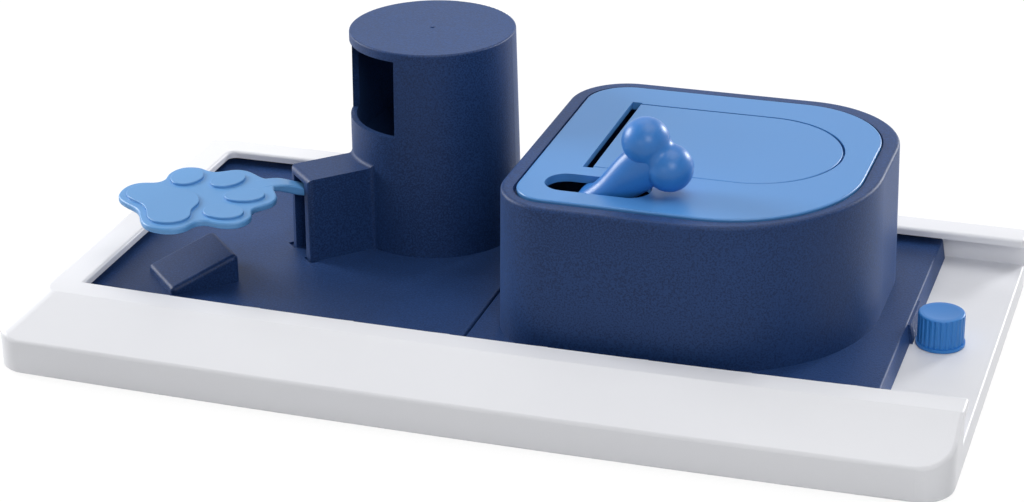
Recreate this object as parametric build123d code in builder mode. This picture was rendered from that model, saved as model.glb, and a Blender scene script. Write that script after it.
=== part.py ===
from build123d import *
import os
from math import cos, radians, sin, tan

os.makedirs("parts", exist_ok=True)

# ---------------------------------------------------------------- sizes, mm
# The floor the toy stands on is Z = 0. X runs along the tray, Y to the back.

# tray
TRAY_X = 201.7
TRAY_LEFT = -202.7
TRAY_BACK = 103.4
TRAY_FRONT = -103.4
BOW = 2.8
BOW_SPAN = 200.0
TRAY_BOTTOM = 1.0
CREASE_Z = 16.0
RAIL_TOP = 28.8
LIP = 3.5
FLOOR_TOP = 13.0
FLOOR_T = 2.5
SKIN = 2.8
LEDGE_RUN = 25.4
LEFT_RUN = 13.7
CORNER_R = 14.0
BACK_CORNER_R = 24.0
MITRE_R = 13.0
BACK_WALL_IN = 99.5
FRONT_WALL_IN = -72.6
LEFT_WALL_IN = -185.0
LIP_BACK = 90.4
LIP_LEFT = -175.7
LIP_FRONT = -66.2
LIP_BOW = 3.5
LIP_ROUND = 1.4

# plates of the two modules
PLATE_TOP = 22.0
PLATE_T = 2.5
PLATE_FRONT = -72.1
PLATE_BACK = 99.1
SEAM_LEFT = -7.6
SEAM_RIGHT = -6.9
PLATE_LEFT = -184.5
PLATE_RIGHT = 165.4
PLATE_FLARE = 1.4

# tower
TOWER_X = -56.2
TOWER_Y = 51.3
TOWER_R_BASE = 38.1
TOWER_R_TOP = 36.7
TOWER_TOP = 116.1
TOWER_WALL = 2.5
TOWER_ROOF = 3.0
WINDOW_W = 44.4
WINDOW_SILL = 77.0
WINDOW_HEAD = 112.0

# lever housing and its slot; distances run from the tower's axis
HOUSING_END = 66.8
HOUSING_HALF = 11.3
HOUSING_TOP = 60.2
RECESS = 1.0
SLOT_MID = -0.6
SLOT_HALF = 5.7
SLOT_TOP = 57.0
PIVOT_A = 45.5
PIVOT_Z = 50.0
PIN_R = 2.0
PIN_HALF = 8.4

# paw lever
LEVER_DIR = (-cos(radians(45)), -sin(radians(45)), 0)
PAW_BOTTOM = 55.6
PAW_TOP = 58.6
PAD_H = 1.1
PAW_ROOF = 1.6
NECK_HALF = 4.8
TIP_A = 4.5
TIP_Z = 48.5
TIP_R = 3.0

# stop wedge on the plate
WEDGE_NEAR = 101.8
WEDGE_FAR = 133.1
WEDGE_HALF = 14.9
WEDGE_HIGH = 35.3
WEDGE_LOW = 25.1

# treat platform
PLATFORM_R = 33.7
PLATFORM_BOTTOM = 55.2
DECK_LOW = 63.6
DECK_ANGLE = 9.0

# box
BOX_TOP = 84.6
BOX_H = BOX_TOP - PLATE_TOP
BOX_WALL = 3.0
BOX_FLOOR = 16.0

# lid
LID_TOP = 85.6
LID_T = 3.5
LEDGE_T = 3.0
OPEN_LEFT = 31.6
FLAP_LEFT = 35.6
FLAP_RIGHT = 131.7
FLAP_FRONT = -11.4
FLAP_BACK = 62.1
SEAM = 0.6
END_SEAM = 1.0
HINGE_SEAM = 1.6
FLAP_T = 3.0
BONE_SLOT_X = 43.3
BONE_SLOT_Y = -30.4
BONE_SLOT_L = 44.6
BONE_SLOT_W = 17.9

# common axle of flap and bone lever
AXLE_X = 40.2
AXLE_Z = 75.9
AXLE_R = 2.5
AXLE_FRONT = -44.2
AXLE_BACK = 72.6
RUNNING = 0.06

# bone lever
BONE_TILT = 46.8
BALL_R = 9.8
BONE_LEN = 38.3
BALL_OFF = 7.2
# shaft: distance from the axle, half width across the flap's swing and half width along the axle
SHAFT = [(0, 7.8, 7.7), (6, 7.1, 7.05), (13, 7.25, 7.15), (21, 8.6, 7.4), (29, 9.4, 7.5), (36, 9.9, 7.3)]
# hollow between the balls: its radius, where it starts and how deep it goes
HOLLOW_R = 4.5
HOLLOW_REACH = ((BALL_R + HOLLOW_R) ** 2 - BALL_OFF**2) ** 0.5
BALL_WAIST_OFF = BALL_OFF * HOLLOW_R / (BALL_R + HOLLOW_R)
BALL_WAIST_R = BALL_R * HOLLOW_REACH / (BALL_R + HOLLOW_R)
GROOVE_R = HOLLOW_REACH - HOLLOW_R

# knob
KNOB_X = 178.75
KNOB_Y = 12.3
KNOB_R = 9.75
KNOB_FLANGE_R = 10.3
KNOB_BOTTOM = 13.3
KNOB_TOP = 27.6
KNOB_DISH_R = 7.7
KNOB_DISH = 0.6
FLUTES = 26
SHANK_R = 4.0

FEET = [
    (TRAY_LEFT + 16, -88), (0, -90), (TRAY_X - 16, -88), (TRAY_LEFT + 20, 88), (0, 91), (TRAY_X - 14, 91),
]
FOOT_R = 6.5

FRONT_SLOPE = (RAIL_TOP - CREASE_Z) / LEDGE_RUN
LEFT_SLOPE = (RAIL_TOP - CREASE_Z) / LEFT_RUN
FRONT_SKIN_Z = SKIN * (1 + FRONT_SLOPE**2) ** 0.5
LEFT_SKIN_Z = SKIN * (1 + LEFT_SLOPE**2) ** 0.5

BOW_R = (BOW_SPAN**2 + BOW**2) / (2 * BOW)
BOW_Y = TRAY_FRONT + BOW_R
LIP_BOW_R = (BOW_SPAN**2 + LIP_BOW**2) / (2 * LIP_BOW)


def front_y(x, y_mid):
    """Y at x of the bowed line that runs through y_mid at the tray's middle."""
    r = BOW_Y - y_mid
    return BOW_Y - (r**2 - x**2) ** 0.5


def lip_y(x):
    """Y at x of the front lip's edge, which bows a little more than the tray."""
    return LIP_FRONT + LIP_BOW_R - (LIP_BOW_R**2 - x**2) ** 0.5


def lever_plane(z):
    """Level plane whose x runs from the tower's axis along the lever."""
    return Plane(origin=(TOWER_X, TOWER_Y, z), x_dir=LEVER_DIR, z_dir=(0, 0, 1))


# upright plane through the lever, x along the lever and y up
LEVER_SIDE = Plane(
    origin=(TOWER_X, TOWER_Y, 0),
    x_dir=LEVER_DIR,
    z_dir=(-sin(radians(45)), cos(radians(45)), 0),
)

# the same plane in the middle of the housing's slot
SLOT_SIDE = LEVER_SIDE.offset(-SLOT_MID)

# upright plane at the tray's left end for profiles that follow the front bow
BOW_HALF_ANGLE = 2.0
BOW_S = sin(radians(BOW_HALF_ANGLE))
BOW_C = cos(radians(BOW_HALF_ANGLE))
BOW_PLANE = Plane(origin=(0, BOW_Y, 0), x_dir=(-BOW_S, -BOW_C, 0), z_dir=(-BOW_C, BOW_S, 0))
BOW_AXIS = Axis((0, BOW_Y, 0), (0, 0, 1))


def tray_outline(inset):
    """Plan of the tray, set in from the outside by inset."""
    left = TRAY_LEFT + inset
    right = TRAY_X - inset
    back = TRAY_BACK - inset
    mid = TRAY_FRONT + inset
    with BuildSketch() as s:
        with BuildLine():
            Polyline((left, front_y(left, mid)), (left, back), (right, back), (right, front_y(right, mid)))
            ThreePointArc((right, front_y(right, mid)), (0, mid), (left, front_y(left, mid)))
        make_face()
        fillet(s.vertices().filter_by(lambda v: v.Y < 0), CORNER_R - inset)
        back_corners = s.vertices().filter_by(lambda v: v.Y > back - 0.01).sort_by(Axis.X)
        fillet(back_corners[0], BACK_CORNER_R - inset)
        fillet(s.vertices().filter_by(lambda v: v.Y > back - 0.01 and v.X > right - 0.01), 3.5 - inset / 2)
    return s.sketch


def d_outline(x0, x1, y0, y1, r_near, r_far, r_front, r_back):
    """Box and lid plan: small corners on the left, near and far, and wide ones on the right."""
    with BuildSketch() as s:
        with Locations(((x0 + x1) / 2, (y0 + y1) / 2)):
            Rectangle(x1 - x0, y1 - y0)
        fillet(s.vertices().filter_by(lambda v: v.X < x0 + 0.01 and v.Y < y0 + 0.01), r_near)
        fillet(s.vertices().filter_by(lambda v: v.X < x0 + 0.01 and v.Y > y1 - 0.01), r_far)
        fillet(s.vertices().filter_by(lambda v: v.X > x1 - 0.01 and v.Y < y0 + 0.01), r_front)
        fillet(s.vertices().filter_by(lambda v: v.X > x1 - 0.01 and v.Y > y1 - 0.01), r_back)
    return s.sketch


def box_outline(z, inset):
    """Plan of the box at height z, set in by inset; the box narrows upwards."""
    up = (z - PLATE_TOP) / BOX_H
    return d_outline(
        2.1 + 1.1 * up + inset,
        153.2 - 1.2 * up - inset,
        -59.0 + 1.4 * up + inset,
        89.9 - 0.1 * up - inset,
        28.0 - 1.2 * up - inset,
        27.0 - 1.2 * up - inset,
        71.0 - up - inset,
        46.0 - up - inset,
    )


def flap_outline(x0, x1, y0, y1):
    """Flap plan: straight hinge side, round far end."""
    r = (y1 - y0) / 2
    with BuildSketch() as s:
        with BuildLine():
            Polyline((x1 - r, y0), (x0, y0), (x0, y1), (x1 - r, y1))
            ThreePointArc((x1 - r, y1), (x1, (y0 + y1) / 2), (x1 - r, y0))
        make_face()
    return s.sketch


# ---------------------------------------------------------------- tray
# hollow under the front rail and under the left rail
with BuildPart() as rail_hollow:
    with BuildSketch(Plane.XY.offset(FLOOR_TOP - FLOOR_T - 0.1)):
        add(tray_outline(SKIN))
    extrude(amount=16)
    with BuildSketch(BOW_PLANE):
        with BuildLine():
            Polyline(
                (BOW_R + 6, CREASE_Z - 6 * FRONT_SLOPE - FRONT_SKIN_Z),
                (BOW_R - LEDGE_RUN - 2, RAIL_TOP + 2 * FRONT_SLOPE - FRONT_SKIN_Z),
                (BOW_R + 6, RAIL_TOP + 2 * FRONT_SLOPE),
                close=True,
            )
        make_face()
    revolve(axis=BOW_AXIS, revolution_arc=2 * BOW_HALF_ANGLE, mode=Mode.SUBTRACT)
    with BuildSketch(Plane.XZ.offset(-120)):
        with BuildLine():
            Polyline(
                (TRAY_LEFT - 3, CREASE_Z - 3 * LEFT_SLOPE - LEFT_SKIN_Z),
                (TRAY_LEFT + LEFT_RUN + 2, RAIL_TOP + 2 * LEFT_SLOPE - LEFT_SKIN_Z),
                (TRAY_LEFT - 3, RAIL_TOP + 2 * LEFT_SLOPE),
                close=True,
            )
        make_face()
    extrude(amount=240, mode=Mode.SUBTRACT)
    with BuildSketch():
        with BuildLine():
            Polyline(
                (LEFT_WALL_IN - SKIN, front_y(LEFT_WALL_IN - SKIN, TRAY_FRONT + 25)),
                (LEFT_WALL_IN - SKIN, 120),
                (TRAY_X + 10, 120),
                (TRAY_X + 10, front_y(TRAY_X + 10, TRAY_FRONT + 25)),
            )
            ThreePointArc(
                (TRAY_X + 10, front_y(TRAY_X + 10, TRAY_FRONT + 25)),
                (0, TRAY_FRONT + 25),
                (LEFT_WALL_IN - SKIN, front_y(LEFT_WALL_IN - SKIN, TRAY_FRONT + 25)),
            )
        make_face()
    extrude(amount=40, mode=Mode.SUBTRACT)
    with BuildSketch(Plane.XY.offset(RAIL_TOP - SKIN)):
        Rectangle(500, 300)
    extrude(amount=5, mode=Mode.SUBTRACT)
    for x, y in FEET:
        with Locations((x, y, 0)):
            Cylinder(FOOT_R + 2, 40, align=(Align.CENTER, Align.CENTER, Align.MIN), mode=Mode.SUBTRACT)

with BuildPart() as tray:
    with BuildSketch(Plane.XY.offset(TRAY_BOTTOM)):
        add(tray_outline(0))
    extrude(amount=RAIL_TOP - TRAY_BOTTOM)
    # sloping top of the front rail
    with BuildSketch(BOW_PLANE):
        with BuildLine():
            Polyline(
                (BOW_R + 6, CREASE_Z - 6 * FRONT_SLOPE),
                (BOW_R - LEDGE_RUN - 2, RAIL_TOP + 2 * FRONT_SLOPE),
                (BOW_R + 6, RAIL_TOP + 2 * FRONT_SLOPE),
                close=True,
            )
        make_face()
    revolve(axis=BOW_AXIS, revolution_arc=2 * BOW_HALF_ANGLE, mode=Mode.SUBTRACT)
    # sloping outside of the left rail
    with BuildSketch(Plane.XZ.offset(-120)):
        with BuildLine():
            Polyline(
                (TRAY_LEFT - 3, CREASE_Z - 3 * LEFT_SLOPE),
                (TRAY_LEFT + LEFT_RUN + 2, RAIL_TOP + 2 * LEFT_SLOPE),
                (TRAY_LEFT - 3, RAIL_TOP + 2 * LEFT_SLOPE),
                close=True,
            )
        make_face()
    extrude(amount=240, mode=Mode.SUBTRACT)
    # wide rounding where the two slopes meet
    mitre = tray.edges().filter_by(
        lambda e: CREASE_Z + 1 < e.center().Z < RAIL_TOP - 1 and e.center().X < -185 and e.center().Y < -75
    )
    fillet(mitre, MITRE_R)
    # softened creases of the two slopes
    creases = tray.edges().filter_by(
        lambda e: CREASE_Z - 0.5 < e.center().Z < RAIL_TOP - 1 and (e.center().Y < -85 or e.center().X < -190)
    )
    fillet(creases, 1.8)
    fillet(tray.faces().sort_by(Axis.Z)[-1].edges(), 1.2)
    fillet(tray.faces().sort_by(Axis.Z)[0].edges(), 1.0)
    # channel that the modules slide in
    with Locations((LEFT_WALL_IN, FRONT_WALL_IN, FLOOR_TOP)):
        Box(
            TRAY_X + 10 - LEFT_WALL_IN,
            BACK_WALL_IN - FRONT_WALL_IN,
            RAIL_TOP - LIP - FLOOR_TOP,
            align=(Align.MIN, Align.MIN, Align.MIN),
            mode=Mode.SUBTRACT,
        )
    # opening between the lips
    with BuildSketch(Plane.XY.offset(RAIL_TOP - LIP)) as lip_opening:
        with BuildLine():
            Polyline(
                (LIP_LEFT, lip_y(LIP_LEFT)),
                (LIP_LEFT, LIP_BACK),
                (TRAY_X + 10, LIP_BACK),
                (TRAY_X + 10, lip_y(TRAY_X + 10)),
            )
            ThreePointArc(
                (TRAY_X + 10, lip_y(TRAY_X + 10)),
                (0, LIP_FRONT),
                (LIP_LEFT, lip_y(LIP_LEFT)),
            )
        make_face()
        fillet(lip_opening.vertices().filter_by(lambda v: v.X < LIP_LEFT + 0.1 and v.Y > 0), 4)
    extrude(amount=LIP + 1, mode=Mode.SUBTRACT)
    lip_rims = tray.edges().filter_by(
        lambda e: e.center().Z > RAIL_TOP - 0.01 and abs(e.center().X) < 180 and -70 < e.center().Y < 92
    )
    fillet(lip_rims, LIP_ROUND)
    # softened end of the floor
    floor_end = tray.edges().filter_by(Axis.Y).filter_by(
        lambda e: e.center().X > TRAY_X - 0.01 and abs(e.center().Z - FLOOR_TOP) < 0.01
    )
    fillet(floor_end, 1.0)
    # hollow underside
    with BuildSketch(Plane.XY.offset(TRAY_BOTTOM)):
        add(tray_outline(SKIN))
    extrude(amount=FLOOR_TOP - FLOOR_T - TRAY_BOTTOM, mode=Mode.SUBTRACT)
    add(rail_hollow.part, mode=Mode.SUBTRACT)
    # ribs, foot bosses and knob boss under the floor
    for share in (-0.6, -0.3, 0.3, 0.6):
        with Locations((share * TRAY_X, 13, 4)):
            Box(2, 172, 7, align=(Align.CENTER, Align.CENTER, Align.MIN))
    with Locations((0, -40, 4), (0, 50, 4)):
        Box(2 * TRAY_X - 30, 2, 7, align=(Align.CENTER, Align.CENTER, Align.MIN))
    for x, y in FEET:
        with Locations((x, y, TRAY_BOTTOM + 0.6)):
            Cylinder(FOOT_R + 2, 12 if y < 0 else 9.5, align=(Align.CENTER, Align.CENTER, Align.MIN))
        with Locations((x, y, 0)):
            Cylinder(FOOT_R + 0.1, 3.6, align=(Align.CENTER, Align.CENTER, Align.MIN), mode=Mode.SUBTRACT)
    with Locations((KNOB_X, KNOB_Y, 2.5)):
        Cylinder(SHANK_R + 3, 9, align=(Align.CENTER, Align.CENTER, Align.MIN))
    with Locations((KNOB_X, KNOB_Y, 0)):
        Cylinder(SHANK_R + RUNNING, 20, align=(Align.CENTER, Align.CENTER, Align.MIN), mode=Mode.SUBTRACT)
tray.part.label = "tray"
export_step(tray.part, "parts/tray.step")

# ---------------------------------------------------------------- feet
for number, (x, y) in enumerate(FEET, start=1):
    with BuildPart() as foot:
        with Locations((x, y, 0)):
            Cylinder(FOOT_R, 3.5, align=(Align.CENTER, Align.CENTER, Align.MIN))
        fillet(foot.edges().sort_by(Axis.Z)[0], 0.8)
    foot.part.label = f"foot_{number}"
    export_step(foot.part, f"parts/foot_{number}.step")

# ---------------------------------------------------------------- tower module
with BuildPart() as tower_module:
    with Locations((PLATE_LEFT, PLATE_FRONT, FLOOR_TOP)):
        Box(
            SEAM_LEFT - PLATE_LEFT,
            PLATE_BACK - PLATE_FRONT,
            PLATE_TOP - FLOOR_TOP,
            align=(Align.MIN, Align.MIN, Align.MIN),
        )
    fillet(tower_module.edges().filter_by(Axis.Z), 3)
    fillet(tower_module.faces().sort_by(Axis.Z)[-1].edges(), 0.8)
    # shallow recess in the plate round the feet of the housing's two cheeks
    with BuildSketch(lever_plane(PLATE_TOP - RECESS)):
        with Locations((63.5, SLOT_MID + SLOT_HALF)):
            Rectangle(4.4, 7.5, align=(Align.MIN, Align.MIN))
        with Locations((63.5, SLOT_MID - SLOT_HALF)):
            Rectangle(4.4, 6.6, align=(Align.MIN, Align.MAX))
    extrude(amount=RECESS, mode=Mode.SUBTRACT)
    # lever housing and tower
    with BuildSketch(lever_plane(PLATE_TOP - RECESS)):
        with Locations((HOUSING_END / 2, 0)):
            Rectangle(HOUSING_END, 2 * HOUSING_HALF)
    extrude(amount=HOUSING_TOP - PLATE_TOP + RECESS, taper=1.0)
    housing_edges = tower_module.edges().filter_by(
        lambda e: e.center().Z > 23 and e.center().Y < TOWER_Y - 25 and e.center().X < TOWER_X - 20
    )
    fillet(housing_edges, 2.5)
    with Locations((TOWER_X, TOWER_Y, PLATE_TOP)):
        Cone(
            TOWER_R_BASE,
            TOWER_R_TOP,
            TOWER_TOP - PLATE_TOP,
            align=(Align.CENTER, Align.CENTER, Align.MIN),
        )
    fillet(tower_module.edges().sort_by(Axis.Z)[-1], 0.8)
    # soft corner where the housing runs into the tower
    axis_point = Vector(TOWER_X, TOWER_Y, 0)
    roots = tower_module.edges().filter_by(
        lambda e: PLATE_TOP + 1 < e.center().Z < HOUSING_TOP + 1
        and 30 < (Vector(e.center().X, e.center().Y, 0) - axis_point).length < 39
        and e.center().Y < TOWER_Y - 10
        and e.center().X < TOWER_X - 10
    )
    fillet(roots, 2.0)
    # hollow plate
    with Locations((PLATE_LEFT + PLATE_T, PLATE_FRONT + PLATE_T, FLOOR_TOP)):
        Box(
            SEAM_LEFT - PLATE_LEFT - 2 * PLATE_T,
            PLATE_BACK - PLATE_FRONT - 2 * PLATE_T,
            PLATE_TOP - FLOOR_TOP - PLATE_T,
            align=(Align.MIN, Align.MIN, Align.MIN),
            mode=Mode.SUBTRACT,
        )
    # bore of the tower
    with Locations((TOWER_X, TOWER_Y, PLATE_TOP)):
        Cone(
            TOWER_R_BASE - TOWER_WALL,
            TOWER_R_TOP - TOWER_WALL,
            TOWER_TOP - PLATE_TOP - TOWER_ROOF,
            align=(Align.CENTER, Align.CENTER, Align.MIN),
            mode=Mode.SUBTRACT,
        )
    with Locations((TOWER_X, TOWER_Y, FLOOR_TOP)):
        Cylinder(
            TOWER_R_BASE - TOWER_WALL,
            PLATE_TOP - FLOOR_TOP + 0.1,
            align=(Align.CENTER, Align.CENTER, Align.MIN),
            mode=Mode.SUBTRACT,
        )
    # window
    with BuildSketch(lever_plane(WINDOW_SILL)):
        with Locations((30, 0)):
            Rectangle(40, WINDOW_W)
    extrude(amount=WINDOW_HEAD - WINDOW_SILL, mode=Mode.SUBTRACT)
    # slot for the lever, through the plate only near the tower
    with BuildSketch(lever_plane(PLATE_TOP)):
        with Locations((20, SLOT_MID)):
            Rectangle(60, 2 * SLOT_HALF, align=(Align.MIN, Align.CENTER))
    extrude(amount=SLOT_TOP - PLATE_TOP, mode=Mode.SUBTRACT)
    with BuildSketch(lever_plane(FLOOR_TOP)):
        with Locations((20, SLOT_MID)):
            Rectangle(38, 2 * SLOT_HALF, align=(Align.MIN, Align.CENTER))
    extrude(amount=PLATE_TOP - FLOOR_TOP, mode=Mode.SUBTRACT)
    # grooves that carry the pivot pin, open at the bottom
    with BuildSketch(SLOT_SIDE):
        with Locations((PIVOT_A, PIVOT_Z)):
            Circle(PIN_R + 0.02)
        with Locations((PIVOT_A, (PIVOT_Z + FLOOR_TOP) / 2)):
            Rectangle(2 * PIN_R + 0.04, PIVOT_Z - FLOOR_TOP)
    extrude(amount=PIN_HALF + 0.1, both=True, mode=Mode.SUBTRACT)
    # stop wedge for the paw
    with BuildSketch(LEVER_SIDE):
        with BuildLine():
            Polyline(
                (WEDGE_NEAR, PLATE_TOP - 1),
                (WEDGE_NEAR, WEDGE_HIGH),
                (WEDGE_FAR, WEDGE_LOW),
                (WEDGE_FAR, PLATE_TOP - 1),
                close=True,
            )
        make_face()
    extrude(amount=WEDGE_HALF, both=True)
    wedge_edges = tower_module.edges().filter_by(
        lambda e: e.center().Z > PLATE_TOP + 1 and e.center().X < TOWER_X - 60
    )
    fillet(wedge_edges, 2.2)
    # rests for the treat platform and the key that stops it turning
    for angle in (45, 135, -45):
        with Locations(Location((TOWER_X, TOWER_Y, PLATE_TOP - PLATE_T), (0, 0, angle))):
            with Locations((33.6, 0, 0)):
                Box(
                    5,
                    2.5,
                    PLATFORM_BOTTOM - 0.3 - PLATE_TOP + PLATE_T,
                    align=(Align.CENTER, Align.CENTER, Align.MIN),
                )
    with Locations(Location((TOWER_X, TOWER_Y, PLATFORM_BOTTOM - 0.3), (0, 0, 45))):
        with Locations((34.4, 0, 0)):
            Box(3.4, 2.5, 45, align=(Align.CENTER, Align.CENTER, Align.MIN))
    # bosses for the retainer's screws
    with BuildSketch(lever_plane(PLATE_TOP - PLATE_T)):
        with Locations((PIVOT_A, 15), (PIVOT_A, -15)):
            Circle(3.5)
    extrude(amount=-2)
    with BuildSketch(lever_plane(PLATE_TOP - PLATE_T - 2)):
        with Locations((PIVOT_A, 15), (PIVOT_A, -15)):
            Circle(1.25)
    extrude(amount=3.8, mode=Mode.SUBTRACT)
    # moulding nub in the middle of the tower's roof
    with Locations((TOWER_X, TOWER_Y, TOWER_TOP)):
        Cylinder(0.9, 0.3, align=(Align.CENTER, Align.CENTER, Align.MIN))
tower_module.part.label = "tower_module"
export_step(tower_module.part, "parts/tower_module.step")

# ---------------------------------------------------------------- paw lever
PAW_HALF = [
    (80.0, 5.2), (81.3, 8.4), (82.3, 12.9), (84.0, 17.3), (87.8, 20.8), (92.5, 21.8), (96.2, 22.8),
    (98.8, 25.8), (100.2, 29.3), (103.3, 32.7), (108.0, 34.2), (112.4, 32.9), (116.4, 29.3), (120.1, 24.9),
    (123.2, 24.3), (127.3, 26.2), (131.5, 27.4), (136.7, 25.9), (140.7, 22.0), (143.1, 17.3), (143.3, 12.6),
    (142.3, 7.6), (141.0, 2.5),
]
HEEL_HALF = [
    (113.5, 0.01), (114.5, 5.2), (116.6, 9.0), (121.2, 13.7), (123.9, 19.1), (127.9, 22.2), (133.4, 22.3),
    (138.0, 19.5), (140.2, 14.7), (139.7, 9.5), (138.0, 3.9),
]
# side view of the neck between paw and pivot: top from the paw inwards, underside outwards
NECK_TOP = [
    (86.0, 58.6), (79.0, 58.6), (76.5, 58.3), (74.0, 57.8), (72.0, 57.1), (70.0, 56.3), (66.0, 54.6),
    (62.0, 53.2), (58.0, 52.8),
]
NECK_UNDER = [
    (58.0, 48.6), (62.0, 49.5), (66.0, 50.8), (69.9, 52.1), (71.9, 52.9), (73.8, 53.7), (75.7, 54.5),
    (78.2, 55.4), (81.5, 55.9), (86.0, 55.9),
]


def moved_in(points, distance):
    """Closed outline, running clockwise, moved inwards by distance."""
    result = []
    for before, here, after in zip(points[-1:] + points[:-1], points, points[1:] + points[:1]):
        dx = after[0] - before[0]
        dy = after[1] - before[1]
        length = (dx**2 + dy**2) ** 0.5
        result.append((here[0] + distance * dy / length, here[1] - distance * dx / length))
    return result


# cranked neck and inner arm
with BuildPart() as paw_arm:
    with BuildSketch(LEVER_SIDE):
        with BuildLine():
            Spline(*NECK_TOP)
            Polyline(NECK_TOP[-1], (40.0, 52.0), (TIP_A, TIP_Z + TIP_R))
            ThreePointArc((TIP_A, TIP_Z + TIP_R), (TIP_A - TIP_R, TIP_Z), (TIP_A, TIP_Z - TIP_R))
            Polyline((TIP_A, TIP_Z - TIP_R), (40.0, 45.6), (51.0, 47.0), NECK_UNDER[0])
            Spline(*NECK_UNDER)
            Line(NECK_UNDER[-1], NECK_TOP[0])
        make_face()
    extrude(amount=NECK_HALF, both=True)
    across = Vector(1, -1, 0)
    arm_edges = paw_arm.edges().filter_by(
        lambda e: (e.position_at(0) - e.position_at(1)).cross(across).length > 0.1
    )
    fillet(arm_edges, 0.9)

with BuildPart() as paw_lever:
    with BuildSketch(lever_plane(PAW_BOTTOM)):
        with BuildLine():
            Spline(*PAW_HALF, *[(a, -b) for a, b in reversed(PAW_HALF)])
            Line((PAW_HALF[0][0], -5.2), (PAW_HALF[0][0], 5.2))
        make_face()
    extrude(amount=PAW_TOP - PAW_BOTTOM)
    paw_rims = paw_lever.faces().sort_by(Axis.Z)[-1].edges() + paw_lever.faces().sort_by(Axis.Z)[0].edges()
    fillet(paw_rims.filter_by(GeomType.LINE, reverse=True), 0.9)
    # hollow underside
    with BuildSketch(lever_plane(PAW_BOTTOM)):
        with BuildLine():
            hollow = moved_in([*PAW_HALF, *[(a, -b) for a, b in reversed(PAW_HALF)]], 1.8)
            Spline(*hollow)
            Line(hollow[-1], hollow[0])
        make_face()
    extrude(amount=PAW_TOP - PAW_BOTTOM - PAW_ROOF, mode=Mode.SUBTRACT)
    # raised pads
    with BuildSketch(lever_plane(PAW_TOP)):
        with BuildLine():
            Spline(*HEEL_HALF, *[(a, -b) for a, b in reversed(HEEL_HALF)], periodic=True)
        make_face()
        with Locations(Location((110.0, 21.8, 0), (0, 0, 132)), Location((110.0, -21.8, 0), (0, 0, -132))):
            Ellipse(9.0, 7.0)
        with Locations(Location((95.6, 9.9, 0), (0, 0, 154.6)), Location((95.6, -9.9, 0), (0, 0, -154.6))):
            Ellipse(8.75, 6.65)
    extrude(amount=PAD_H)
    fillet(paw_lever.edges().filter_by(lambda e: e.center().Z > PAW_TOP + PAD_H - 0.01), 0.4)
    add(paw_arm.part)
    # hub
    with BuildSketch(SLOT_SIDE):
        with Locations((PIVOT_A, PIVOT_Z)):
            Circle(4.9)
    extrude(amount=SLOT_HALF - 0.4, both=True)
    with BuildSketch(SLOT_SIDE):
        with Locations((PIVOT_A, PIVOT_Z)):
            Circle(PIN_R + RUNNING)
    extrude(amount=10, both=True, mode=Mode.SUBTRACT)
paw_lever.part.label = "paw_lever"
export_step(paw_lever.part, "parts/paw_lever.step")

# ---------------------------------------------------------------- lever pin
with BuildPart() as lever_pin:
    with BuildSketch(SLOT_SIDE):
        with Locations((PIVOT_A, PIVOT_Z)):
            Circle(PIN_R)
    extrude(amount=PIN_HALF, both=True)
    chamfer(lever_pin.edges(), 0.3)
lever_pin.part.label = "lever_pin"
export_step(lever_pin.part, "parts/lever_pin.step")

# ---------------------------------------------------------------- pin retainer
with BuildPart() as pin_retainer:
    with BuildSketch(lever_plane(15.3)):
        with Locations((PIVOT_A, 0)):
            RectangleRounded(9, 38, 3)
        with Locations((PIVOT_A, 15), (PIVOT_A, -15)):
            Circle(1.4, mode=Mode.SUBTRACT)
    extrude(amount=2.15)
    with BuildSketch(lever_plane(15.3)):
        with Locations((PIVOT_A, SLOT_MID + 7.0), (PIVOT_A, SLOT_MID - 7.0)):
            Rectangle(2 * PIN_R - 0.1, 2.6)
    extrude(amount=PIVOT_Z - PIN_R - 0.02 - 15.3)
pin_retainer.part.label = "pin_retainer"
export_step(pin_retainer.part, "parts/pin_retainer.step")

# ---------------------------------------------------------------- retainer screws
with BuildPart() as retainer_screws:
    with BuildSketch(lever_plane(13.6)):
        with Locations((PIVOT_A, 15), (PIVOT_A, -15)):
            Circle(2.6)
    extrude(amount=1.7)
    with BuildSketch(lever_plane(15.3)):
        with Locations((PIVOT_A, 15), (PIVOT_A, -15)):
            Circle(1.2)
    extrude(amount=5.7)
    with BuildSketch(lever_plane(13.6)):
        with Locations((PIVOT_A, 15), (PIVOT_A, -15)):
            Rectangle(3.4, 0.7)
            Rectangle(0.7, 3.4)
    extrude(amount=0.8, mode=Mode.SUBTRACT)
retainer_screws.part.label = "retainer_screws"
export_step(retainer_screws.part, "parts/retainer_screws.step")

# ---------------------------------------------------------------- treat platform
DECK_MID = DECK_LOW + PLATFORM_R * tan(radians(DECK_ANGLE))


def under_deck(radius, bottom, drop):
    """Round column below the sloping deck, its top drop lower than the deck."""
    slope = tan(radians(DECK_ANGLE))
    reach = 40
    with BuildPart() as column:
        with Locations((TOWER_X, TOWER_Y, bottom)):
            Cylinder(radius, 40, align=(Align.CENTER, Align.CENTER, Align.MIN))
        with BuildSketch(LEVER_SIDE):
            with BuildLine():
                Polyline(
                    (-reach, DECK_MID - drop + reach * slope),
                    (reach, DECK_MID - drop - reach * slope),
                    (reach, 120),
                    (-reach, 120),
                    close=True,
                )
            make_face()
        extrude(amount=reach, both=True, mode=Mode.SUBTRACT)
    return column.part


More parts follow.
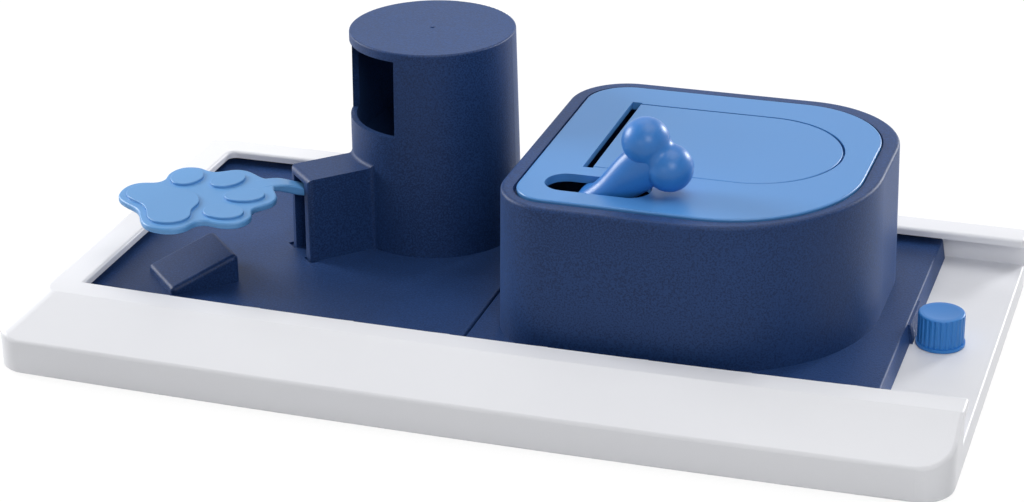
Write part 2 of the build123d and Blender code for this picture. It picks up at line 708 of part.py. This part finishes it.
with BuildPart() as lift_platform:
    add(under_deck(PLATFORM_R, PLATFORM_BOTTOM, 0))
    add(under_deck(PLATFORM_R - 2.4, PLATFORM_BOTTOM - 1, 2.8), mode=Mode.SUBTRACT)
    add(under_deck(8, TIP_Z + TIP_R + 0.3, 1))
    with Locations(Location((TOWER_X, TOWER_Y, 50), (0, 0, 45))):
        with Locations((35, 0, 0)):
            Box(5.4, 3.6, 40, align=(Align.CENTER, Align.CENTER, Align.MIN), mode=Mode.SUBTRACT)
lift_platform.part.label = "lift_platform"
export_step(lift_platform.part, "parts/lift_platform.step")

# ---------------------------------------------------------------- box module
with BuildPart() as box_module:
    with BuildSketch(Plane.XZ.offset(-PLATE_FRONT)):
        with BuildLine():
            Polyline(
                (SEAM_RIGHT, FLOOR_TOP),
                (PLATE_RIGHT + PLATE_FLARE, FLOOR_TOP),
                (PLATE_RIGHT, PLATE_TOP),
                (SEAM_RIGHT, PLATE_TOP),
                close=True,
            )
        make_face()
    extrude(amount=PLATE_FRONT - PLATE_BACK)
    fillet(box_module.edges().filter_by(lambda e: e.length < 10), 2)
    fillet(box_module.faces().sort_by(Axis.Z)[-1].edges(), 1.0)
    # latch tab beside the knob
    with BuildSketch(Plane.XZ.offset(-8.2)):
        with BuildLine():
            Polyline(
                (PLATE_RIGHT - 1, FLOOR_TOP),
                (PLATE_RIGHT + PLATE_FLARE + 1.2, FLOOR_TOP),
                (PLATE_RIGHT + 1.2, PLATE_TOP - 0.4),
                (PLATE_RIGHT - 1, PLATE_TOP - 0.4),
                close=True,
            )
        make_face()
    extrude(amount=-24.8)
    with BuildSketch(Plane.XY.offset(PLATE_TOP)):
        add(box_outline(PLATE_TOP, 0))
    with BuildSketch(Plane.XY.offset(BOX_TOP)):
        add(box_outline(BOX_TOP, 0))
    loft(ruled=True)
    fillet(box_module.faces().sort_by(Axis.Z)[-1].edges(), 1.6)
    # hollow plate outside the box
    with BuildSketch(Plane.XY.offset(FLOOR_TOP)):
        with Locations(((SEAM_RIGHT + PLATE_RIGHT) / 2, (PLATE_FRONT + PLATE_BACK) / 2)):
            Rectangle(PLATE_RIGHT - SEAM_RIGHT - 2 * PLATE_T, PLATE_BACK - PLATE_FRONT - 2 * PLATE_T)
        add(box_outline(PLATE_TOP, 0), mode=Mode.SUBTRACT)
    extrude(amount=PLATE_TOP - FLOOR_TOP - PLATE_T, mode=Mode.SUBTRACT)
    # treat compartment
    with BuildSketch(Plane.XY.offset(BOX_FLOOR)):
        add(box_outline(BOX_FLOOR, BOX_WALL))
    with BuildSketch(Plane.XY.offset(LID_TOP - LID_T - LEDGE_T)):
        add(box_outline(LID_TOP - LID_T - LEDGE_T, BOX_WALL))
    loft(ruled=True, mode=Mode.SUBTRACT)
    # ledge opening and seat of the lid frame
    with BuildSketch(Plane.XY.offset(LID_TOP - LID_T - LEDGE_T - 0.1)):
        add(d_outline(15.0, 141.2, -46.6, 78.2, 13.1, 15.1, 53.5, 36.8))
    extrude(amount=LEDGE_T + 1, mode=Mode.SUBTRACT)
    with BuildSketch(Plane.XY.offset(LID_TOP - LID_T)):
        add(d_outline(9.6, 145.5, -51.3, 84.1, 15.3, 19.0, 58.0, 42.1))
    extrude(amount=LID_T + 1, mode=Mode.SUBTRACT)
box_module.part.label = "box_module"
export_step(box_module.part, "parts/box_module.step")

# ---------------------------------------------------------------- lid frame
with BuildPart() as lid_frame:
    with BuildSketch(Plane.XY.offset(LID_TOP - LID_T)):
        add(d_outline(10.9, 144.9, -50.3, 81.9, 15.0, 18.8, 57.2, 40.5))
    extrude(amount=LID_T)
    fillet(lid_frame.faces().sort_by(Axis.Z)[-1].edges(), 0.8)
    # locating skirt inside the ledge
    with BuildSketch(Plane.XY.offset(LID_TOP - LID_T - 4)):
        add(d_outline(15.3, 140.9, -46.3, 77.9, 12.8, 14.8, 53.2, 36.5))
        add(d_outline(17.1, 139.1, -44.5, 76.1, 11.0, 13.0, 51.4, 34.7), mode=Mode.SUBTRACT)
    extrude(amount=4)
    # rest for the round end of the flap
    with BuildSketch(Plane.XY.offset(LID_TOP - FLAP_T - 1.8)):
        add(flap_outline(76, FLAP_RIGHT + 2, FLAP_FRONT - 2, FLAP_BACK + 2))
        add(flap_outline(70, FLAP_RIGHT - 2.2, FLAP_FRONT + 2.2, FLAP_BACK - 2.2), mode=Mode.SUBTRACT)
    extrude(amount=1.6)
    # flap opening and bone slot
    with BuildSketch(Plane.XY.offset(LID_TOP - FLAP_T - 0.3)):
        add(flap_outline(OPEN_LEFT, FLAP_RIGHT + END_SEAM, FLAP_FRONT - SEAM, FLAP_BACK + SEAM))
    extrude(amount=FLAP_T + 1, mode=Mode.SUBTRACT)
    with BuildSketch(Plane.XY.offset(LID_TOP - LID_T - 1)):
        add(flap_outline(OPEN_LEFT, 80, FLAP_FRONT - SEAM, FLAP_BACK + SEAM))
        with Locations((OPEN_LEFT, FLAP_FRONT - HINGE_SEAM)):
            Rectangle(
                FLAP_LEFT + 0.4 - OPEN_LEFT,
                FLAP_BACK - FLAP_FRONT + 2 * HINGE_SEAM,
                align=(Align.MIN, Align.MIN),
            )
        with Locations((BONE_SLOT_X, BONE_SLOT_Y)):
            SlotOverall(BONE_SLOT_L, BONE_SLOT_W)
    extrude(amount=LID_T + 2, mode=Mode.SUBTRACT)
    # bearing brackets for the axle
    with BuildSketch(Plane.XZ.offset(42.6)) as bracket:
        with BuildLine():
            Polyline(
                (AXLE_X - 7, LID_TOP - LID_T + 0.5),
                (AXLE_X - 5, AXLE_Z - 2),
                (AXLE_X + 5, AXLE_Z - 2),
                (AXLE_X + 7, LID_TOP - LID_T + 0.5),
                close=True,
            )
        make_face()
        with Locations((AXLE_X, AXLE_Z - 1)):
            Circle(5)
    extrude(amount=-3)
    with BuildSketch(Plane.XZ.offset(16.2)):
        add(bracket.sketch)
    extrude(amount=-3)
    with BuildSketch(Plane.XZ.offset(-66.6)):
        add(bracket.sketch)
    extrude(amount=-3)
    with BuildSketch(Plane.XZ.offset(50)):
        with Locations((AXLE_X, AXLE_Z)):
            Circle(AXLE_R + RUNNING)
    extrude(amount=-140, mode=Mode.SUBTRACT)
    # relief under the hinge side, where the flap's edge swings past
    relief = lid_frame.edges().filter_by(Axis.Y).filter_by(
        lambda e: abs(e.center().X - OPEN_LEFT) < 0.01 and abs(e.center().Z - LID_TOP + LID_T) < 0.01
    )
    chamfer(relief, 0.8)
lid_frame.part.label = "lid_frame"
export_step(lid_frame.part, "parts/lid_frame.step")

# ---------------------------------------------------------------- flap
with BuildPart() as flap:
    with BuildSketch(Plane.XY.offset(LID_TOP - FLAP_T)):
        add(flap_outline(FLAP_LEFT, FLAP_RIGHT, FLAP_FRONT, FLAP_BACK))
    extrude(amount=FLAP_T)
    fillet(flap.faces().sort_by(Axis.Z)[-1].edges(), 0.5)
    for y in (FLAP_FRONT + 3, FLAP_BACK - 8):
        with BuildSketch(Plane.XZ.offset(-y)):
            with BuildLine():
                Polyline(
                    (FLAP_LEFT + 0.6, LID_TOP - FLAP_T + 0.4),
                    (AXLE_X - 5.2, AXLE_Z),
                    (AXLE_X + 5.2, AXLE_Z),
                    (AXLE_X + 12, LID_TOP - FLAP_T + 0.4),
                    close=True,
                )
            make_face()
            with Locations((AXLE_X, AXLE_Z)):
                Circle(5.2)
        extrude(amount=-5)
    with BuildSketch(Plane.XZ.offset(50)):
        with Locations((AXLE_X, AXLE_Z)):
            Circle(AXLE_R + 0.02)
    extrude(amount=-140, mode=Mode.SUBTRACT)
flap.part.label = "flap"
export_step(flap.part, "parts/flap.step")

# ---------------------------------------------------------------- axle
with BuildPart() as flap_axle:
    with BuildSketch(Plane.XZ.offset(-AXLE_FRONT)):
        with Locations((AXLE_X, AXLE_Z)):
            Circle(AXLE_R)
    extrude(amount=AXLE_FRONT - AXLE_BACK)
    chamfer(flap_axle.edges().filter_by(GeomType.CIRCLE), 0.4)
flap_axle.part.label = "flap_axle"
export_step(flap_axle.part, "parts/flap_axle.step")

# ---------------------------------------------------------------- axle clips
with BuildPart() as axle_clips:
    for y in (AXLE_BACK - 1.9, AXLE_FRONT + 0.4):
        with BuildSketch(Plane.XZ.offset(-y)):
            with Locations((AXLE_X, AXLE_Z)):
                Circle(4.6)
                Circle(AXLE_R + 0.02, mode=Mode.SUBTRACT)
            with Locations((AXLE_X, AXLE_Z - 4)):
                Rectangle(3.0, 5, mode=Mode.SUBTRACT)
        extrude(amount=-0.9)
axle_clips.part.label = "axle_clips"
export_step(axle_clips.part, "parts/axle_clips.step")

# ---------------------------------------------------------------- bone lever
BONE_ALONG = (sin(radians(BONE_TILT)), 0, cos(radians(BONE_TILT)))
BONE_ACROSS = (cos(radians(BONE_TILT)), 0, -sin(radians(BONE_TILT)))
# upright plane through the bone, x along the shaft from the axle, y across it
BONE_SIDE = Plane(origin=(AXLE_X, BONE_SLOT_Y, AXLE_Z), x_dir=BONE_ALONG, z_dir=(0, -1, 0))

with BuildPart() as bone_lever:
    # shaft, flaring towards the balls
    for along, across, thick in SHAFT:
        centre = BONE_SIDE.from_local_coords(Vector(along, 0, 0))
        with BuildSketch(Plane(origin=centre, x_dir=BONE_ACROSS, z_dir=BONE_ALONG)):
            Ellipse(across, thick)
    loft()
    # two balls with a rounded groove between them
    with BuildSketch(BONE_SIDE):
        with BuildLine():
            Line((BONE_LEN, -BALL_OFF - BALL_R), (BONE_LEN, BALL_OFF + BALL_R))
            ThreePointArc(
                (BONE_LEN, BALL_OFF + BALL_R),
                (BONE_LEN + BALL_R, BALL_OFF),
                (BONE_LEN + BALL_WAIST_R, BALL_WAIST_OFF),
            )
            ThreePointArc(
                (BONE_LEN + BALL_WAIST_R, BALL_WAIST_OFF),
                (BONE_LEN + GROOVE_R, 0),
                (BONE_LEN + BALL_WAIST_R, -BALL_WAIST_OFF),
            )
            ThreePointArc(
                (BONE_LEN + BALL_WAIST_R, -BALL_WAIST_OFF),
                (BONE_LEN + BALL_R, -BALL_OFF),
                (BONE_LEN, -BALL_OFF - BALL_R),
            )
        make_face()
    revolve(axis=Axis(BONE_SIDE.from_local_coords(Vector(BONE_LEN, 0, 0)), BONE_ACROSS))
    # hub round the axle
    with BuildSketch(Plane.XZ.offset(-BONE_SLOT_Y)):
        with Locations((AXLE_X, AXLE_Z)):
            Circle(7.6)
    extrude(amount=7.4, both=True)
    with BuildSketch(Plane.XZ.offset(-BONE_SLOT_Y)):
        with Locations((AXLE_X, AXLE_Z)):
            Circle(AXLE_R + 0.02)
    extrude(amount=20, both=True, mode=Mode.SUBTRACT)
bone_lever.part.label = "bone_lever"
export_step(bone_lever.part, "parts/bone_lever.step")

# ---------------------------------------------------------------- lock knob
DISH_SPHERE = (KNOB_DISH_R**2 + KNOB_DISH**2) / (2 * KNOB_DISH)

with BuildPart() as lock_knob:
    with Locations((KNOB_X, KNOB_Y, KNOB_BOTTOM)):
        Cylinder(KNOB_R, KNOB_TOP - KNOB_BOTTOM, align=(Align.CENTER, Align.CENTER, Align.MIN))
    fillet(lock_knob.edges().sort_by(Axis.Z)[-1], 0.9)
    # grip flutes
    with Locations((KNOB_X, KNOB_Y, KNOB_BOTTOM + 1.3)):
        with PolarLocations(KNOB_R + 0.45, FLUTES, start_angle=-2.4):
            Cylinder(
                0.9,
                KNOB_TOP - KNOB_BOTTOM - 1.7,
                align=(Align.CENTER, Align.CENTER, Align.MIN),
                mode=Mode.SUBTRACT,
            )
    with Locations((KNOB_X, KNOB_Y, KNOB_BOTTOM)):
        Cylinder(KNOB_FLANGE_R, 1.3, align=(Align.CENTER, Align.CENTER, Align.MIN))
    # dished top
    with Locations((KNOB_X, KNOB_Y, KNOB_TOP + DISH_SPHERE - KNOB_DISH)):
        Sphere(DISH_SPHERE, mode=Mode.SUBTRACT)
    with Locations((KNOB_X, KNOB_Y, 3.2)):
        Cylinder(SHANK_R, 12, align=(Align.CENTER, Align.CENTER, Align.MIN))
    chamfer(lock_knob.edges().sort_by(Axis.Z)[0], 0.6)
lock_knob.part.label = "lock_knob"
export_step(lock_knob.part, "parts/lock_knob.step")
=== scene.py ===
import math

import bpy
from mathutils import Matrix, Vector

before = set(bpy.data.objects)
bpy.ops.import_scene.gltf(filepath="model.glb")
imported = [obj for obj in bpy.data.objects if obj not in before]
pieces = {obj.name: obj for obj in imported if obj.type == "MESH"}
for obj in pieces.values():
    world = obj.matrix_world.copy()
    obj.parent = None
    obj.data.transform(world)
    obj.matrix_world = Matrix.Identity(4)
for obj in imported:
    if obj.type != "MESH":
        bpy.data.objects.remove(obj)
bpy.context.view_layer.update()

# lengths are in metres, angles in degrees
CAMERA_PLACE = (0.31143, -0.94492, 0.49056)
CAMERA_AROUND = 18.46
CAMERA_ABOVE = 24.47
CAMERA_ROLL = -0.91
SENSOR_WIDTH_MM = 36.0
FRAME_WIDTH_PX = 1024.0
FOCAL_LENGTH_PX = 2557.0

PAW_SEAM_Z = 0.0571
SEAM_HALF_WIDTH = 0.00018
SEAM_RELIEF = 4.0

FLOOR_REACH = 6.0
FLOOR_DROP = 0.0002
FLOOR_GREY = 0.7
FLOOR_GLOW = 1.08
FLOOR_GLOW_SEEN = 0.85
WORLD_LIGHT = 0.04
WORLD_SEEN = 1.0
WHITE = (1.0, 1.0, 1.0, 1.0)

# sockets of the Mix node when it mixes colours
FIRST_COLOUR = 6
SECOND_COLOUR = 7
MIXED_COLOUR = 2


# ---------------------------------------------------------------- camera
def place_camera():
    """Camera at eye height in front of the toy, turned a little to its open end."""
    around = math.radians(CAMERA_AROUND)
    above = math.radians(CAMERA_ABOVE)
    roll = math.radians(CAMERA_ROLL)
    level = math.cos(above)
    forward = Vector((-math.sin(around) * level, math.cos(around) * level, -math.sin(above)))
    right = Vector((math.cos(around), math.sin(around), 0.0))
    up = right.cross(forward)
    across = math.cos(roll) * right + math.sin(roll) * up
    upward = math.cos(roll) * up - math.sin(roll) * right
    turn = Matrix((across, upward, -forward)).transposed().to_4x4()
    lens = bpy.data.cameras.new("camera")
    lens.sensor_fit = "HORIZONTAL"
    lens.sensor_width = SENSOR_WIDTH_MM
    lens.lens = SENSOR_WIDTH_MM * FOCAL_LENGTH_PX / FRAME_WIDTH_PX
    lens.clip_start = 0.01
    lens.clip_end = 30.0
    camera = bpy.data.objects.new("camera", lens)
    camera.matrix_world = Matrix.Translation(CAMERA_PLACE) @ turn
    bpy.context.scene.collection.objects.link(camera)
    bpy.context.scene.camera = camera


# ---------------------------------------------------------------- shader maths
class Amount:
    """A number that varies over a surface. Arithmetic on it adds Math nodes."""

    def __init__(self, finish, socket):
        self.finish = finish
        self.socket = socket

    def worked(self, operation, first, second):
        return self.finish.node("ShaderNodeMath", {"operation": operation}, {0: first, 1: second})

    def __add__(self, other):
        return self.worked("ADD", self, other)

    def __radd__(self, other):
        return self.worked("ADD", other, self)

    def __mul__(self, other):
        return self.worked("MULTIPLY", self, other)

    def __rmul__(self, other):
        return self.worked("MULTIPLY", other, self)


class Finish:
    """The nodes of one material, or of the world, under construction."""

    def __init__(self, owner):
        owner.use_nodes = True
        self.owner = owner
        self.nodes = owner.node_tree.nodes
        self.links = owner.node_tree.links
        self.nodes.clear()

    def node(self, kind, settings=None, inputs=None, output=0):
        """Adds a node, sets its settings first and then its sockets, and gives one output."""
        made = self.nodes.new(kind)
        for key, value in (settings or {}).items():
            setattr(made, key, value)
        for key, value in (inputs or {}).items():
            socket = made.inputs[key]
            if isinstance(value, Amount):
                self.links.new(value.socket, socket)
            else:
                socket.default_value = value
        return Amount(self, made.outputs[output])

    def place(self):
        return self.node("ShaderNodeTexCoord", output="Object")

    def noise(self, where, scale, detail=2.0, roughness=0.5):
        return self.node(
            "ShaderNodeTexNoise",
            inputs={"Vector": where, "Scale": scale, "Detail": detail, "Roughness": roughness},
        )

    def mixed(self, share, first, second):
        """The first colour where share is 0 and the second where it is 1."""
        return self.node(
            "ShaderNodeMix",
            {"data_type": "RGBA"},
            {"Factor": share, FIRST_COLOUR: first, SECOND_COLOUR: second},
            output=MIXED_COLOUR,
        )

    def seen_directly(self, low, high):
        """high where the camera sees it, also in a mirror or through glass, and low as light on the toy."""
        seen = self.node("ShaderNodeLightPath", output="Is Camera Ray")
        for ray in ("Is Glossy Ray", "Is Transmission Ray"):
            other = self.node("ShaderNodeLightPath", output=ray)
            seen = seen.worked("MAXIMUM", seen, other)
        return self.node("ShaderNodeMapRange", inputs={"Value": seen, "To Min": low, "To Max": high})

    def shade(self, shader, output="ShaderNodeOutputMaterial"):
        out = self.nodes.new(output)
        self.links.new(shader.socket, out.inputs["Surface"])
        return self.owner


def new_finish(name):
    return Finish(bpy.data.materials.new(name))


def rgb(red, green, blue):
    """Linear colour from the usual 0 to 255 values."""
    parts = []
    for value in (red, green, blue):
        v = value / 255.0
        parts.append(v / 12.92 if v <= 0.04045 else ((v + 0.055) / 1.055) ** 2.4)
    return (*parts, 1.0)


# ---------------------------------------------------------------- finishes
def moulded_plastic(
    name, colour, deeper, roughness, grain=0.00002, speckle=0.0, gleam=0.5, bloom=0.0, seam=None
):
    """Spark-eroded satin plastic: an even grain, soft flow shades and a slightly uneven gloss.

    grain is the depth of the surface's texture and speckle how much it also shades the colour.
    gleam is how strongly it mirrors its surroundings and bloom the pale cast that it shows at a slant.
    seam gives the height of a mould's parting line, a hair-thin ridge round the side of the piece.
    """
    f = new_finish(name)
    where = f.place()
    flow = f.noise(where, scale=9.0, detail=3.0)
    cloud = f.noise(where, scale=60.0)
    fine = f.noise(where, scale=1400.0, roughness=0.65)
    coarse = f.noise(where, scale=700.0, detail=1.0)
    # the last term keeps the shade's middle at a half, whatever the speckle
    shade = flow * 0.6 + cloud * 0.2 + fine * speckle + (0.1 - 0.5 * speckle)
    spread = f.node("ShaderNodeMapRange", inputs={"Value": shade, "From Min": 0.25, "From Max": 0.75})
    gloss = cloud * 0.06 + fine * 0.10 + (roughness - 0.08)
    relief = fine * 0.7 + coarse * 0.3
    if seam is not None:
        height = f.node("ShaderNodeSeparateXYZ", inputs={"Vector": where}, output="Z")
        ridge = f.node("ShaderNodeMath", {"operation": "COMPARE"}, {0: height, 1: seam, 2: SEAM_HALF_WIDTH})
        relief = relief + ridge * SEAM_RELIEF
    bump = f.node("ShaderNodeBump", inputs={"Strength": 1.0, "Distance": grain, "Height": relief})
    shader = f.node(
        "ShaderNodeBsdfPrincipled",
        inputs={
            "Base Color": f.mixed(spread, deeper, colour),
            "Roughness": gloss,
            "Normal": bump,
            "Specular IOR Level": gleam,
            "Sheen Weight": bloom,
            "Sheen Roughness": 0.45,
            "Sheen Tint": rgb(120, 165, 245),
            "IOR": 1.49,
        },
    )
    return f.shade(shader)


def rubber(name):
    """Dull dark rubber with a little dust."""
    f = new_finish(name)
    where = f.place()
    fine = f.noise(where, scale=900.0, detail=3.0)
    dust = f.noise(where, scale=40.0, detail=4.0)
    bump = f.node("ShaderNodeBump", inputs={"Strength": 1.0, "Distance": 0.00003, "Height": fine})
    shader = f.node(
        "ShaderNodeBsdfPrincipled",
        inputs={
            "Base Color": f.mixed(dust, rgb(34, 35, 38), rgb(52, 53, 56)),
            "Roughness": 0.85,
            "Normal": bump,
        },
    )
    return f.shade(shader)


def drawn_steel(name):
    """Bright steel with fine drawing lines along Y."""
    f = new_finish(name)
    stretched = f.node("ShaderNodeMapping", inputs={"Vector": f.place(), "Scale": (2500.0, 60.0, 2500.0)})
    lines = f.noise(stretched, scale=1.0)
    bump = f.node("ShaderNodeBump", inputs={"Strength": 0.6, "Distance": 0.00001, "Height": lines})
    shader = f.node(
        "ShaderNodeBsdfPrincipled",
        inputs={
            "Base Color": rgb(196, 198, 202),
            "Metallic": 1.0,
            "Roughness": lines * 0.2 + 0.22,
            "Normal": bump,
        },
    )
    return f.shade(shader)


def finish_pieces():
    """Gives every piece its finish. What isn't named is a rubber foot."""
    grey_plastic = moulded_plastic(
        "pale_grey_plastic",
        colour=rgb(231, 232, 236),
        deeper=rgb(227, 228, 233),
        roughness=0.42,
        grain=0.000012,
        gleam=0.4,
    )
    navy_plastic = moulded_plastic(
        "navy_plastic",
        colour=rgb(32, 60, 108),
        deeper=rgb(20, 42, 80),
        roughness=0.48,
        grain=0.00009,
        speckle=2.2,
        gleam=0.22,
        bloom=0.16,
    )
    lid_plastic = moulded_plastic(
        "lid_blue_plastic",
        colour=rgb(75, 135, 197),
        deeper=rgb(69, 129, 191),
        roughness=0.38,
        grain=0.000015,
        speckle=0.3,
    )
    bone_plastic = moulded_plastic(
        "bone_blue_plastic",
        colour=rgb(45, 118, 192),
        deeper=rgb(38, 108, 182),
        roughness=0.36,
        speckle=0.4,
        gleam=0.45,
        bloom=0.1,
    )
    knob_plastic = moulded_plastic(
        "knob_blue_plastic",
        colour=rgb(50, 126, 200),
        deeper=rgb(43, 117, 190),
        roughness=0.38,
        speckle=0.4,
        gleam=0.4,
    )
    paw_plastic = moulded_plastic(
        "paw_blue_plastic",
        colour=rgb(91, 148, 204),
        deeper=rgb(83, 141, 197),
        roughness=0.42,
        speckle=0.4,
        seam=PAW_SEAM_Z,
    )
    foot_rubber = rubber("foot_rubber")
    steel = drawn_steel("drawn_steel")

    finish_of = {
        "tray": grey_plastic,
        "tower_module": navy_plastic,
        "box_module": navy_plastic,
        "lift_platform": navy_plastic,
        "pin_retainer": navy_plastic,
        "paw_lever": paw_plastic,
        "lid_frame": lid_plastic,
        "flap": lid_plastic,
        "bone_lever": bone_plastic,
        "lock_knob": knob_plastic,
        "lever_pin": steel,
        "retainer_screws": steel,
        "flap_axle": steel,
        "axle_clips": steel,
    }
    for name, piece in pieces.items():
        piece.data.materials.clear()
        piece.data.materials.append(finish_of.get(name, foot_rubber))


# ---------------------------------------------------------------- studio
def lay_floor():
    """White floor that fades into the white surround and keeps a faint shadow of the toy."""
    corners = [(-1, -1), (1, -1), (1, 1), (-1, 1)]
    mesh = bpy.data.meshes.new("studio_floor")
    mesh.from_pydata(
        [(x * FLOOR_REACH, y * FLOOR_REACH, -FLOOR_DROP) for x, y in corners],
        [],
        [(0, 1, 2, 3)],
    )
    floor = bpy.data.objects.new("studio_floor", mesh)
    bpy.context.scene.collection.objects.link(floor)
    f = new_finish("studio_white")
    grey = (FLOOR_GREY, FLOOR_GREY, FLOOR_GREY, 1.0)
    diffuse = f.node("ShaderNodeBsdfDiffuse", inputs={"Color": grey})
    glow = f.node("ShaderNodeEmission", inputs={"Color": WHITE, "Strength": FLOOR_GLOW})
    share = f.seen_directly(0.0, FLOOR_GLOW_SEEN)
    mesh.materials.append(f.shade(f.node("ShaderNodeMixShader", None, {0: share, 1: diffuse, 2: glow})))


def surround():
    """A world that looks white and gives only a little light."""
    world = bpy.data.worlds.new("studio")
    bpy.context.scene.world = world
    f = Finish(world)
    strength = f.seen_directly(WORLD_LIGHT, WORLD_SEEN)
    background = f.node("ShaderNodeBackground", inputs={"Color": WHITE, "Strength": strength})
    f.shade(background, "ShaderNodeOutputWorld")


def softbox(name, place, aim, size, watts):
    lamp = bpy.data.lights.new(name, "AREA")
    lamp.shape = "RECTANGLE"
    lamp.size, lamp.size_y = size
    lamp.energy = watts
    holder = bpy.data.objects.new(name, lamp)
    turn = (Vector(aim) - Vector(place)).to_track_quat("-Z", "Y").to_matrix().to_4x4()
    holder.matrix_world = Matrix.Translation(place) @ turn
    bpy.context.scene.collection.objects.link(holder)


place_camera()
finish_pieces()
bpy.context.scene.view_settings.view_transform = "Standard"
lay_floor()
surround()
softbox("overhead_softbox", (0.3, 0.0, 1.3), aim=(0, 0, 0), size=(1.0, 1.0), watts=8.0)
softbox("back_overhead_softbox", (-0.3, 0.7, 1.2), aim=(0, 0, 0), size=(1.0, 0.6), watts=3.0)
softbox("left_softbox", (-1.4, 0.2, 0.6), aim=(0, 0, 0.05), size=(0.6, 0.6), watts=20.0)
softbox("front_right_softbox", (0.7, -1.2, 0.9), aim=(0, 0, 0.05), size=(0.6, 0.6), watts=7.5)
softbox("front_softbox", (-0.3, -1.7, 0.4), aim=(0, 0, 0.05), size=(0.8, 0.5), watts=2.6)
softbox("back_right_softbox", (0.9, 1.4, 0.5), aim=(0.1, 0, 0.05), size=(0.4, 0.35), watts=16.0)
